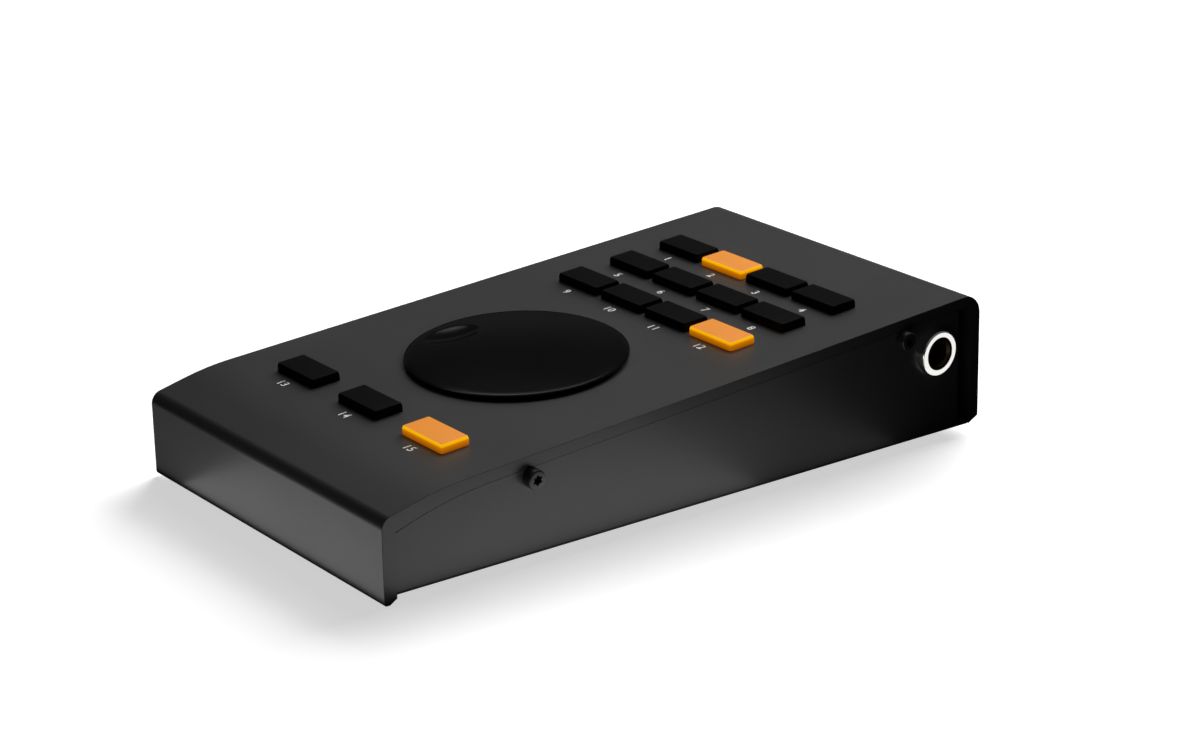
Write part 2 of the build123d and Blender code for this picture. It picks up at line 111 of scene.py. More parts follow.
def skin(name, colour, roughness, grain, bump, specular=0.5, metallic=0.0, patches=30.0,
         colour_spread=0.25, roughness_spread=0.15):
    """Material of one even colour whose grain, gloss and relief vary over the surface."""
    material = bpy.data.materials.new(name)
    material.use_nodes = True
    tree = material.node_tree
    shader = tree.nodes["Principled BSDF"]
    shader.inputs["Metallic"].default_value = metallic
    shader.inputs["Specular IOR Level"].default_value = specular
    surface = add(tree, "ShaderNodeGroup",
                  {"Color": (*colour, 1.0), "Color Spread": colour_spread, "Roughness": roughness,
                   "Roughness Spread": roughness_spread, "Grain": grain, "Patches": patches},
                  node_tree=bpy.data.node_groups["blasted_grain"])
    relief = add(tree, "ShaderNodeBump", {"Strength": bump, "Distance": 0.02 * mm,
                                          "Height": surface.outputs["Height"]})
    tree.links.new(surface.outputs["Color"], shader.inputs["Base Color"])
    tree.links.new(surface.outputs["Roughness"], shader.inputs["Roughness"])
    tree.links.new(relief.outputs["Normal"], shader.inputs["Normal"])
    return material


def edge_broken(node, width, picked):
    """Merged copy of a CAD node's mesh, with a small round along the picked edges of both side faces."""
    mesh = frame["nodes"][node].data.copy()
    if "custom_normal" in mesh.attributes:
        mesh.attributes.remove(mesh.attributes["custom_normal"])
    shape = bmesh.new()
    shape.from_mesh(mesh)
    bmesh.ops.remove_doubles(shape, verts=shape.verts, dist=weld)
    bmesh.ops.dissolve_limit(shape, angle_limit=flat_turn, verts=shape.verts, edges=shape.edges)
    on_side = [edge for edge in shape.edges
               if all(abs(abs(vert.co.x) - body_half_width) < weld for vert in edge.verts)]
    sharp = [edge for edge in on_side if edge.is_manifold and edge.calc_face_angle() > sharp_turn]
    bmesh.ops.bevel(shape, geom=[edge for edge in sharp if picked(edge)], offset=width, segments=3,
                    profile=0.5, affect="EDGES")
    for face in shape.faces:
        face.smooth = True
    shape.to_mesh(mesh)
    shape.free()
    mesh.set_sharp_from_angle(angle=soft_turn)
    return mesh


def piece(mesh, name, material, body, slot, *nodes):
    """Put a finished mesh in the scene, riding on a body and standing for CAD nodes."""
    mesh.name = name
    mesh.materials.clear()
    mesh.materials.append(material)
    made = bpy.data.objects.new(name, mesh)
    bpy.context.collection.objects.link(made)
    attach(made, body)
    if nodes:
        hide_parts(*nodes)
    return made


def faces_out(edge):
    """True where the face beside a side face looks away from the middle of the case."""
    beside = min(edge.link_faces, key=lambda face: abs(face.normal.x))
    away = edge.verts[0].co - Vector((edge.verts[0].co.x, 0.0, case_middle))
    return beside.normal.dot(away) > 0


def even_shading(made):
    """Let the large flat faces rule the shading beside a round."""
    made.modifiers.new("even_shading", "WEIGHTED_NORMAL").keep_sharp = True


anodised = skin("anodised_black", (0.0272, 0.0272, 0.0275), 0.37, grain=5200.0, bump=0.25, specular=0.35)
cover = piece(edge_broken("top_cover", side_edge_round, faces_out), "cover_extrusion", anodised,
              "housing", "anodised_black", "top_cover")
even_shading(cover)

# Legends
# White screen print on the deck in front of each key: plain numbers from the rear left to the front
# right. The ink is a thin raised film on the anodised metal.
wheel_turn = next(joint for joint in frame["joints"] if joint["name"] == "wheel_turn")
deck_normal = Vector(wheel_turn["axis"]).normalized()
deck_across = Vector((1.0, 0.0, 0.0))
deck_along = deck_normal.cross(deck_across)
wheel_gap = 0.6 * mm
deck = Matrix((deck_across, deck_along, deck_normal)).transposed().to_4x4()
deck.translation = Vector(wheel_turn["pos_m"]) - wheel_gap * deck_normal
key_count = 15
legend_height = 2.4 * mm
legend_gap = 3.2 * mm
legend_weight = 0.05 * mm
digit_share = 0.7
digit_spacing = 1.1
ink_thickness = 0.03 * mm


def deck_box(node):
    """Lowest and highest corner of a CAD node, measured across, along and above the deck."""
    to_deck = deck.inverted()
    points = [to_deck @ vertex.co for vertex in frame["nodes"][node].data.vertices]
    low = Vector([min(point[axis] for point in points) for axis in range(3)])
    high = Vector([max(point[axis] for point in points) for axis in range(3)])
    return low, high


def printed(text, height, place):
    """Mesh of one printed legend, its middle at a place on the deck."""
    curve = bpy.data.curves.new("legend_" + text, "FONT")
    curve.body = text
    curve.align_x = "CENTER"
    curve.align_y = "CENTER"
    curve.size = height / digit_share
    curve.offset = legend_weight
    curve.extrude = ink_thickness / 2
    curve.space_character = digit_spacing
    holder = bpy.data.objects.new("legend_" + text, curve)
    mesh = bpy.data.meshes.new_from_object(holder)
    bpy.data.objects.remove(holder)
    mesh.transform(deck @ Matrix.Translation((place.x, place.y, ink_thickness / 2)))
    return mesh


def joined(meshes, name):
    """One mesh of several."""
    shape = bmesh.new()
    for mesh in meshes:
        shape.from_mesh(mesh)
    whole = bpy.data.meshes.new(name)
    shape.to_mesh(whole)
    shape.free()
    return whole


ink = skin("legend_ink", (0.74, 0.74, 0.74), 0.5, grain=2500.0, bump=0.2, colour_spread=0.08)
cap_boxes = [deck_box(f"key_cap_{number:02d}") for number in range(1, key_count + 1)]
numbers = []
for number, (low, high) in enumerate(cap_boxes, start=1):
    place = Vector(((low.x + high.x) / 2, low.y - legend_gap, 0.0))
    numbers.append(printed(str(number), legend_height, place))
piece(joined(numbers, "key_numbers"), "key_numbers", ink, "housing", "anodised_black")

# Board and what it carries
# A green board hangs from the deck on six brass pillars. Sealed switches with small lamps stand under
# the keys, the encoder under the wheel, and the controller chip below. The case hides them all.
inner_skins = {
    "main_board": skin("board_green", (0.02, 0.12, 0.06), 0.4, grain=1500.0, bump=0.1),
    "board_pillars": skin("pillar_brass", (0.75, 0.55, 0.24), 0.3, grain=3000.0, bump=0.1, metallic=1.0),
    "board_screws": skin("plain_steel", (0.6, 0.6, 0.6), 0.3, grain=3000.0, bump=0.1, metallic=1.0),
    "controller_chip": skin("chip_black", (0.03, 0.03, 0.03), 0.6, grain=3000.0, bump=0.3),
    "switch_housings": skin("switch_plastic", (0.08, 0.08, 0.08), 0.5, grain=3000.0, bump=0.2),
    "indicator_leds": skin("led_body", (0.9, 0.85, 0.6), 0.25, grain=2000.0, bump=0.05),
    "encoder_body": skin("encoder_metal", (0.5, 0.5, 0.5), 0.35, grain=3000.0, bump=0.1, metallic=1.0),
    "jack_body": skin("jack_plastic", (0.02, 0.02, 0.02), 0.5, grain=3000.0, bump=0.2),
    "jack_leads": skin("lead_jacket", (0.5, 0.05, 0.03), 0.45, grain=3000.0, bump=0.1),
}
inner_skins["encoder_shaft"] = inner_skins["board_screws"]


def dress(node, material):
    """Give a CAD node that keeps its own shape its material."""
    slots = frame["nodes"][node].data.materials
    slots.clear()
    slots.append(material)


for node, material in inner_skins.items():
    dress(node, material)

# Keys
# Hollow moulded caps of smoked plastic, each pressed on a white plunger that drops into its switch.
# A collar under the deck keeps the cap in. Three caps are lit amber by the lamps under them; that amber
# glow is painted into the caps as emission, with a paler top and a bright rim band.
lit_keys = (2, 12, 15)
cap_collar = 0.55 * mm
cap_collar_thick = 1.0 * mm
cap_corner = 0.45 * mm
cap_rise = cap_boxes[0][1].z
cap_ridge_rise = 1.5 * mm
cap_top_inset = 0.2 * mm
cap_top_round = 0.14 * mm
round_steps = 4


def stacked(tree, entry, outline, labels):
    """Fill an outline and raise it level by level; a level's input is its width, depth and rise."""
    base = add(tree, "GeometryNodeFillCurve", {"Curve": outline}, mode="NGONS").outputs["Mesh"]
    lift = add(tree, "ShaderNodeVectorMath", {0: entry[labels[0]], 1: (0.0, 0.0, 1.0)},
               operation="MULTIPLY")
    base = add(tree, "GeometryNodeSetPosition",
               {"Geometry": base, "Offset": lift.outputs[0]}).outputs[0]
    bottom = add(tree, "GeometryNodeFlipFaces", {"Mesh": base}).outputs["Mesh"]
    wall = base
    top = None
    for lower, upper in zip(labels, labels[1:]):
        ratio = add(tree, "ShaderNodeVectorMath", {0: entry[upper], 1: entry[lower]}, operation="DIVIDE")
        scale = add(tree, "ShaderNodeVectorMath",
                    {0: ratio.outputs[0], 1: (1.0, 1.0, 0.0), 2: (0.0, 0.0, 1.0)},
                    operation="MULTIPLY_ADD")
        step = add(tree, "ShaderNodeVectorMath", {0: entry[upper], 1: entry[lower]}, operation="SUBTRACT")
        rise = add(tree, "ShaderNodeVectorMath", {0: step.outputs[0], 1: (0.0, 0.0, 1.0)},
                   operation="MULTIPLY")
        raised = add(tree, "GeometryNodeExtrudeMesh",
                     {"Mesh": wall, "Offset": rise.outputs[0], "Offset Scale": 1.0, "Individual": False},
                     mode="FACES")
        if top is not None:
            tree.links.new(top, raised.inputs["Selection"])
        top = raised.outputs["Top"]
        place = add(tree, "GeometryNodeInputPosition").outputs[0]
        drawn_in = add(tree, "ShaderNodeVectorMath", {0: place, 1: scale.outputs[0]}, operation="MULTIPLY")
        wall = add(tree, "GeometryNodeSetPosition",
                   {"Geometry": raised.outputs["Mesh"], "Selection": top,
                    "Position": drawn_in.outputs[0]}).outputs[0]
    whole = add(tree, "GeometryNodeJoinGeometry")
    tree.links.new(bottom, whole.inputs[0])
    tree.links.new(wall, whole.inputs[0])
    return add(tree, "GeometryNodeMergeByDistance",
               {"Geometry": whole.outputs[0], "Distance": weld}).outputs[0]


def open_tree(name, vectors, numbers=()):
    """Geometry tree with named inputs for its sizes, and the sockets that its nodes start from."""
    tree = bpy.data.node_groups.new(name, "GeometryNodeTree")
    tree.interface.new_socket("Geometry", in_out="INPUT", socket_type="NodeSocketGeometry")
    for label in vectors:
        tree.interface.new_socket(label, in_out="INPUT", socket_type="NodeSocketVector")
    for label in numbers:
        tree.interface.new_socket(label, in_out="INPUT", socket_type="NodeSocketFloat")
    tree.interface.new_socket("Material", in_out="INPUT", socket_type="NodeSocketMaterial")
    tree.interface.new_socket("Geometry", in_out="OUTPUT", socket_type="NodeSocketGeometry")
    return tree, add(tree, "NodeGroupInput").outputs


def close_tree(tree, entry, shape):
    """Stand a shape on every seat point, turned as the seat says, as real geometry with its material."""
    turn = add(tree, "GeometryNodeInputNamedAttribute", {"Name": "turn"}, data_type="FLOAT_VECTOR")
    copies = add(tree, "GeometryNodeInstanceOnPoints",
                 {"Points": entry["Geometry"], "Instance": shape, "Rotation": turn.outputs[0]})
    real = add(tree, "GeometryNodeRealizeInstances", {"Geometry": copies.outputs[0]})
    painted = add(tree, "GeometryNodeSetMaterial",
                  {"Geometry": real.outputs[0], "Material": entry["Material"]})
    add(tree, "NodeGroupOutput", {"Geometry": painted.outputs[0]})


def grown(tree, seats, material, sizes):
    """Run a geometry tree on seats, each a place and a turn, and keep the result as a plain mesh."""
    points = bpy.data.meshes.new(tree.name + "_seats")
    points.from_pydata([place for place, turn in seats], [], [])
    turns = points.attributes.new("turn", "FLOAT_VECTOR", "POINT")
    for index, (place, turn) in enumerate(seats):
        turns.data[index].vector = turn
    carrier = bpy.data.objects.new(tree.name + "_carrier", points)
    bpy.context.collection.objects.link(carrier)
    modifier = carrier.modifiers.new(tree.name, "NODES")
    modifier.node_group = tree
    for item in tree.interface.items_tree:
        if item.in_out == "INPUT" and item.name in sizes:
            modifier[item.identifier] = sizes[item.name]
        elif item.in_out == "INPUT" and item.name == "Material":
            modifier[item.identifier] = material
    shown = carrier.evaluated_get(bpy.context.evaluated_depsgraph_get())
    mesh = bpy.data.meshes.new_from_object(shown)
    bpy.data.objects.remove(carrier)
    for face in mesh.polygons:
        face.use_smooth = True
    mesh.set_sharp_from_angle(angle=soft_turn)
    return mesh


def make_cap_tree(labels):
    """Geometry tree of one cap: a rounded rectangle raised through collar, wall, ridge and top."""
    tree, entry = open_tree("moulded_cap", labels, ["Corner"])
    size = add(tree, "ShaderNodeSeparateXYZ", {0: entry[labels[0]]}).outputs
    plan = add(tree, "GeometryNodeCurvePrimitiveQuadrilateral", {"Width": size[0], "Height": size[1]})
    plan = add(tree, "GeometryNodeFilletCurve",
               {"Curve": plan.outputs[0], "Radius": entry["Corner"], "Count": 6, "Limit Radius": True},
               mode="POLY")
    close_tree(tree, entry, stacked(tree, entry, plan.outputs[0], labels))
    return tree


def cap_levels(low, high):
    """Width, depth and rise of every level of a cap, from the collar's underside to the top face."""
    width = high.x - low.x - 2 * cap_collar
    depth = high.y - low.y - 2 * cap_collar
    collar_top = low.z + cap_collar_thick
    levels = {
        "Collar foot": (width + 2 * cap_collar, depth + 2 * cap_collar, low.z),
        "Collar top": (width + 2 * cap_collar, depth + 2 * cap_collar, collar_top),
        "Wall foot": (width, depth, collar_top),
        "Ridge": (width, depth, cap_ridge_rise),
    }
    for step in range(round_steps + 1):
        angle = radians(90) * step / round_steps
        inset = cap_top_inset + cap_top_round * (1 - cos(angle))
        rise = high.z - cap_top_round * (1 - sin(angle))
        levels[f"Top round {step}"] = (width - 2 * inset, depth - 2 * inset, rise)
    return levels


def make_lit_plastic():
    """Smoked plastic with the lamps' light painted in as emission: deep amber flanks, a painted bright rim
    band and a paler painted glow on the flat top.
    """
    material = bpy.data.materials.new("key_lit")
    material.use_nodes = True
    tree = material.node_tree
    shader = tree.nodes["Principled BSDF"]
    shader.inputs["Base Color"].default_value = (0.25, 0.08, 0.01, 1.0)
    shader.inputs["Specular IOR Level"].default_value = 0.2
    shader.inputs["Emission Strength"].default_value = 1.0
    place = add(tree, "ShaderNodeTexCoord").outputs["Object"]
    rise = add(tree, "ShaderNodeVectorMath", {0: place, 1: deck_normal}, operation="DOT_PRODUCT")
    # Painted glow: the flanks' emission colour is graded by height above the deck, with a painted bright
    # band near the ridge.
    share = add(tree, "ShaderNodeMapRange", {"Value": rise.outputs["Value"],
                                             "From Min": deck.translation.dot(deck_normal),
                                             "From Max": deck.translation.dot(deck_normal) + cap_rise})
    flank = add(tree, "ShaderNodeValToRGB", {0: share.outputs[0]})
    stops = flank.color_ramp.elements
    stops[0].position, stops[0].color = 0.0, (0.3, 0.075, 0.0, 1.0)
    stops[1].position, stops[1].color = 1.0, (0.95, 0.5, 0.001, 1.0)
    for position, colour in ((0.35, (0.45, 0.13, 0.0, 1.0)), (0.64, (0.6, 0.19, 0.0, 1.0)),
                             (0.72, (0.92, 0.42, 0.001, 1.0))):
        stops.new(position).color = colour
    # The flat top takes a paler painted glow than the flanks.
    facing = add(tree, "ShaderNodeVectorMath",
                 {0: add(tree, "ShaderNodeNewGeometry").outputs["Normal"], 1: deck_normal},
                 operation="DOT_PRODUCT")
    flat = add(tree, "ShaderNodeMapRange",
               {"Value": facing.outputs["Value"], "From Min": 0.9, "From Max": 0.98})
    painted_glow_colour = add(tree, "ShaderNodeMix", {"Factor": flat.outputs[0], 6: flank.outputs["Color"],
                                             7: (0.53, 0.19, 0.027, 1.0)}, data_type="RGBA")
    cloud = add(tree, "ShaderNodeTexNoise",
                {"Vector": place, "Scale": 260.0, "Detail": 3.0})
    dim = add(tree, "ShaderNodeMapRange", {"Value": cloud.outputs["Fac"], "To Min": 0.9, "To Max": 1.06})
    glow = add(tree, "ShaderNodeVectorMath", {0: painted_glow_colour.outputs[2], "Scale": dim.outputs[0]},
               operation="SCALE")
    gloss = add(tree, "ShaderNodeMapRange", {"Value": cloud.outputs["Fac"], "To Min": 0.3, "To Max": 0.45})
    tree.links.new(glow.outputs[0], shader.inputs["Emission Color"])
    tree.links.new(gloss.outputs[0], shader.inputs["Roughness"])
    return material


key_plastic = skin("key_black", (0.002, 0.002, 0.002), 0.5, grain=3500.0, bump=0.2, specular=0.05)
plunger_plastic = skin("plunger_plastic", (0.8, 0.8, 0.78), 0.5, grain=2500.0, bump=0.1)
painted_glow_plastic = make_lit_plastic()
cap_tree = make_cap_tree(list(cap_levels(*cap_boxes[0])))
deck_turn = deck.to_euler()
for number, (low, high) in enumerate(cap_boxes, start=1):
    body = f"key_{number:02d}"
    slot, material = ("key_lit", painted_glow_plastic) if number in lit_keys else ("key_black", key_plastic)
    seat = deck @ Vector(((low.x + high.x) / 2, (low.y + high.y) / 2, 0.0))
    sizes = {"Corner": cap_corner, **cap_levels(low, high)}
    mesh = grown(cap_tree, [(seat, deck_turn)], material, sizes)
    piece(mesh, f"cap_{number:02d}", material, body, slot, f"key_cap_{number:02d}")
    dress(f"key_plunger_{number:02d}", plunger_plastic)

# Jog wheel
# A moulded black wheel with a crowned face, an oval finger dimple and a bevelled rim. Its hub goes
# through the deck and is pressed on the encoder's shaft.
wheel_low, wheel_high = deck_box("jog_wheel")
shaft_top = deck_box("encoder_shaft")[1].z
shaft_radius = 3.02 * mm
hub_radius = 6.5 * mm
wheel_radius = wheel_high.x
wheel_under_radius = wheel_radius - 1.0 * mm
wheel_rim_rise = 1.05 * mm
wheel_edge_rise = 1.6 * mm
wheel_edge_radius = wheel_radius - 0.8 * mm
wheel_crown = wheel_high.z
wheel_under_round = 0.2 * mm
wheel_rim_round = 0.18 * mm
wheel_edge_round = 2.2 * mm
dimple_half_width = 5.5 * mm
dimple_half_length = 7.9 * mm
dimple_depth = 1.0 * mm
dimple_lip = 0.08 * mm
dimple_turn = radians(197.2)
dimple_reach = 20.3 * mm
wheel_sectors = 360
crown_step = 0.3 * mm


def crown_rise(x, y):
    """Height of the wheel's face: a shallow crown with the dimple let into it, its lip eased."""
    crown = wheel_crown - (wheel_crown - wheel_edge_rise) * (hypot(x, y) / wheel_edge_radius) ** 2
    across = (x - dimple_reach * cos(dimple_turn)) / dimple_half_width
    along = (y - dimple_reach * sin(dimple_turn)) / dimple_half_length
    floor = crown - dimple_depth * (1 - across ** 2 - along ** 2)
    ease = max(dimple_lip - abs(crown - floor), 0.0) ** 2 / (4 * dimple_lip)
    return min(crown, floor) - ease


def rounded(corners, radii, steps=5):
    """Points of a line through corners in a plane, each corner given its radius."""
    points = []
    for index, corner in enumerate(corners):
        here = Vector(corner)
        radius = radii[index]
        if radius == 0:
            points.append(here)
            continue
        before = (Vector(corners[index - 1]) - here).normalized()
        after = (Vector(corners[index + 1]) - here).normalized()
        half = before.angle(after) / 2
        middle = here + (before + after).normalized() * radius / sin(half)
        start = here + before * radius * cos(half) / sin(half)
        end = here + after * radius * cos(half) / sin(half)
        for step in range(steps + 1):
            arm = (start - middle).lerp(end - middle, step / steps).normalized()
            points.append(middle + arm * radius)
    return points


def turned(section, sectors, place):
    """Mesh turned from a section of radius and height; where it ends on the axis it is closed there."""
    shape = bmesh.new()
    rings = []
    for radius, height in section:
        if radius < weld:
            rings.append([shape.verts.new((0.0, 0.0, height))] * sectors)
            continue
        angles = [2 * pi * sector / sectors for sector in range(sectors)]
        rings.append([shape.verts.new((radius * cos(angle), radius * sin(angle), height))
                      for angle in angles])
    for lower, upper in zip(rings, rings[1:]):
        for sector in range(sectors):
            after = (sector + 1) % sectors
            corners = dict.fromkeys((lower[sector], lower[after], upper[after], upper[sector]))
            shape.faces.new(list(corners))
    bmesh.ops.remove_doubles(shape, verts=shape.verts, dist=0.0001 * mm)
    bmesh.ops.recalc_face_normals(shape, faces=shape.faces)
    for face in shape.faces:
        face.smooth = True
    mesh = bpy.data.meshes.new("turned")
    shape.to_mesh(mesh)
    shape.free()
    mesh.transform(place)
    mesh.set_sharp_from_angle(angle=sharp_turn)
    return mesh


def turned_wheel():
    """Mesh of the wheel, from the bore's end out over hub, underside and rim to the dimpled crown."""
    section = rounded(
        [(0.0, shaft_top), (shaft_radius, shaft_top), (shaft_radius, wheel_low.z),
         (hub_radius, wheel_low.z), (hub_radius, wheel_gap), (wheel_under_radius, wheel_gap),
         (wheel_radius, wheel_rim_rise), (wheel_edge_radius, wheel_edge_rise), (0.0, wheel_crown)],
        [0, 0, 0, 0, 0, wheel_under_round, wheel_rim_round, wheel_edge_round, 0])
    crown_edge, crown_middle = section[-2:]
    rings = int(crown_edge.x / crown_step)
    crown = [crown_edge.lerp(crown_middle, ring / rings) for ring in range(1, rings)]
    mesh = turned(section[:-1] + crown + [crown_middle], wheel_sectors, Matrix())
    for vertex in mesh.vertices:
        radius = hypot(vertex.co.x, vertex.co.y)
        if vertex.co.z > shaft_top + 0.1 * mm and radius < crown_edge.x - weld:
            vertex.co.z = crown_rise(vertex.co.x, vertex.co.y)
    mesh.transform(deck)
    return mesh


wheel_plastic = skin("wheel_black", (0.001, 0.001, 0.001), 0.21, grain=4200.0, bump=0.15, specular=0.07)
wheel = piece(turned_wheel(), "finger_wheel", wheel_plastic, "wheel", "wheel_black", "jog_wheel")

# Base tray
# A folded steel tray, powder coated black, that closes the case from below. Its side walls stand
# flush with the cover, under a fine seam, and stop short of the rear wall.
coated = skin("coated_black", (0.031, 0.031, 0.0313), 0.37, grain=4600.0, bump=0.25, specular=0.35)
tray_edge_round = 0.08 * mm
tray_fold_height = 6.0 * mm
seam_closed = 0.16 * mm
front_seam_closed = 0.24 * mm


def below_fold(edge):
    """True along the tray's lower edges, which show no seam."""
    return max(vert.co.z for vert in edge.verts) < tray_fold_height


def meets_cover(face):
    """True on the narrow faces of the side walls that look up or forward at the cover."""
    on_side = any(abs(vert.co.x) > body_half_width - weld for vert in face.verts)
    return on_side and abs(face.normal.x) < 0.1 and (face.normal.z > 0.5 or face.normal.y < -0.7)


def close_seam(mesh):
    """Move the side walls' ends out until they all but meet the cover, as the pressed parts do."""
    shape = bmesh.new()
    shape.from_mesh(mesh)
    ends = {face for face in shape.faces if meets_cover(face)}
    for vert in {vert for face in ends for vert in face.verts}:
        beside = [face.normal for face in vert.link_faces if face in ends]
        ahead = sum((normal for normal in beside if normal.y < -0.7), Vector()).normalized()
        above = sum((normal for normal in beside if normal.y >= -0.7), Vector()).normalized()
        shared = ahead.dot(above)
        mitre = 1 - shared ** 2
        vert.co += ahead * (front_seam_closed - seam_closed * shared) / mitre
        vert.co += above * (seam_closed - front_seam_closed * shared) / mitre
    shape.to_mesh(mesh)
    shape.free()
    return mesh


tray_mesh = close_seam(edge_broken("base_tray", tray_edge_round, below_fold))
tray = piece(tray_mesh, "folded_tray", coated, "housing", "coated_black", "base_tray")
even_shading(tray)

# Jack
# A 6.35 mm socket with a moulded body behind the right wall. Its threaded brass bushing comes
# through the wall and is held by a bright nickel ring nut over a thin washer.
nickel = skin("bright_nickel", (0.93, 0.92, 0.9), 0.16, grain=2500.0, bump=0.03, metallic=1.0,
              colour_spread=0.05, roughness_spread=0.08)
sleeve_brass = skin("sleeve_brass", (0.7, 0.5, 0.25), 0.35, grain=2500.0, bump=0.1, metallic=1.0)
# Brass darkened to near black: painted shade standing in for the dark inside of the bore.
bore_shade_brass = skin("bore_shade_brass", (0.075, 0.055, 0.028), 0.5, grain=2500.0, bump=0.1, metallic=1.0)
nut_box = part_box("jack_nut")
washer_thick = 0.3 * mm
nut_radius = 6.2 * mm
nut_thick = 1.4 * mm
nut_round = 0.4 * mm
nut_foot_round = 0.1 * mm
thread_round = 0.12 * mm
mouth_round = 0.05 * mm
bushing_radius = 4.5 * mm
jack_bore = 3.25 * mm
mouth_flare = 0.45 * mm
mouth_flare_depth = 0.8 * mm
thread_fit = 0.02 * mm
bushing_tail = 5.0 * mm
jack_sectors = 96
nut_middle = (nut_box[0] + nut_box[1]) / 2
jack_place = (Matrix.Translation((body_half_width, nut_middle.y, nut_middle.z))
              @ Matrix.Rotation(radians(90), 4, "Y"))
nut_face = washer_thick + nut_thick
nut_section = rounded(
    [(bushing_radius + thread_fit, washer_thick), (nut_radius, washer_thick), (nut_radius, nut_face),
     (bushing_radius + thread_fit, nut_face), (bushing_radius + thread_fit, washer_thick)],
    [0, nut_foot_round, nut_round, thread_round, 0])
bushing_section = rounded(
    [(jack_bore, -bushing_tail), (bushing_radius, -bushing_tail), (bushing_radius, nut_face),
     (jack_bore + mouth_flare, nut_face), (jack_bore, nut_face - mouth_flare_depth),
     (jack_bore, -bushing_tail)],
    [0, 0, thread_round, mouth_round, mouth_round, 0])
ring_nut = piece(turned(nut_section, jack_sectors, jack_place), "ring_nut", nickel, "housing",
                 "bright_nickel", "jack_nut")
piece(turned(bushing_section, jack_sectors, jack_place), "plug_mouth", bore_shade_brass, "housing",
      "sleeve_brass", "jack_bushing")
dress("jack_washer", nickel)
dress("jack_sleeve", sleeve_brass)

# Data socket
# A plated steel shell round a white moulded core, soldered under the board. It reaches through the
# tray's rear wall, and a window in the cover lets the plug in.
shell_steel = skin("shell_steel", (0.62, 0.62, 0.62), 0.3, grain=2500.0, bump=0.05, metallic=1.0)
core_plastic = skin("socket_plastic", (0.85, 0.85, 0.82), 0.45, grain=2500.0, bump=0.1)
dress("data_socket_shell", shell_steel)
dress("data_socket_core", core_plastic)

# Side screws
# Four black cap screws with a six-pointed recess, two in each side wall, pull the tray up to the
# lugs under the deck.
screw_head = 5.0 * mm
screw_head_height = 2.8 * mm
screw_head_round = 0.45 * mm
screw_shank = 2.5 * mm
screw_length = 8.0 * mm
recess_radius = 1.55 * mm
recess_valley = 1.0 * mm
recess_depth = 1.4 * mm
recess_round = 0.12 * mm


def solids_of(node):
    """Middle of every separate solid in a CAD node."""
    shape = bmesh.new()
    shape.from_mesh(frame["nodes"][node].data)
    bmesh.ops.remove_doubles(shape, verts=shape.verts, dist=weld)
    left = set(shape.verts)
    middles = []
    while left:
        found, fresh = set(), {left.pop()}
        while fresh:
            found |= fresh
            fresh = {edge.other_vert(vert) for vert in fresh for edge in vert.link_edges} - found
        left -= found
        corners = [[pick(vert.co[axis] for vert in found) for axis in range(3)] for pick in (min, max)]
        middles.append((Vector(corners[0]) + Vector(corners[1])) / 2)
    shape.free()
    return middles


def make_screw_tree(labels):
    """Geometry tree of one cap screw, seated under its head, with a star-shaped recess."""
    tree, entry = open_tree("cap_screw", labels, ["Recess radius", "Recess valley", "Recess depth"])
    size = add(tree, "ShaderNodeSeparateXYZ", {0: entry[labels[0]]}).outputs
    radius = add(tree, "ShaderNodeMath", {0: size[0], 1: 0.5}, operation="MULTIPLY")
    plan = add(tree, "GeometryNodeCurvePrimitiveCircle", {"Resolution": 48, "Radius": radius.outputs[0]})
    solid = stacked(tree, entry, plan.outputs[0], labels)
    star = add(tree, "GeometryNodeCurveStar", {"Points": 6, "Inner Radius": entry["Recess valley"],
                                               "Outer Radius": entry["Recess radius"]})
    star = add(tree, "GeometryNodeFilletCurve",
               {"Curve": star.outputs[0], "Radius": recess_round, "Count": 3, "Limit Radius": True},
               mode="POLY")
    face = add(tree, "GeometryNodeFillCurve", {"Curve": star.outputs[0]}, mode="NGONS").outputs[0]
    top = add(tree, "ShaderNodeSeparateXYZ", {0: entry[labels[-1]]}).outputs[2]
    start = add(tree, "ShaderNodeMath", {0: top, 1: entry["Recess depth"]}, operation="SUBTRACT")
    lift = add(tree, "ShaderNodeCombineXYZ", {2: start.outputs[0]})
    face = add(tree, "GeometryNodeSetPosition", {"Geometry": face, "Offset": lift.outputs[0]}).outputs[0]
    reach = add(tree, "ShaderNodeMath", {0: entry["Recess depth"], 1: 2.0}, operation="MULTIPLY")
    wall = add(tree, "GeometryNodeExtrudeMesh", {"Mesh": face, "Offset Scale": reach.outputs[0]},
               mode="FACES")
    under = add(tree, "GeometryNodeFlipFaces", {"Mesh": face})
    prism = add(tree, "GeometryNodeJoinGeometry")
    tree.links.new(under.outputs[0], prism.inputs[0])
    tree.links.new(wall.outputs["Mesh"], prism.inputs[0])
    cutter = add(tree, "GeometryNodeMergeByDistance",
                 {"Geometry": prism.outputs[0], "Distance": weld}).outputs[0]
    cut = add(tree, "GeometryNodeMeshBoolean", operation="DIFFERENCE", solver="EXACT")
    tree.links.new(solid, cut.inputs[0])
    tree.links.new(cutter, cut.inputs[1])
    close_tree(tree, entry, cut.outputs[0])
    return tree


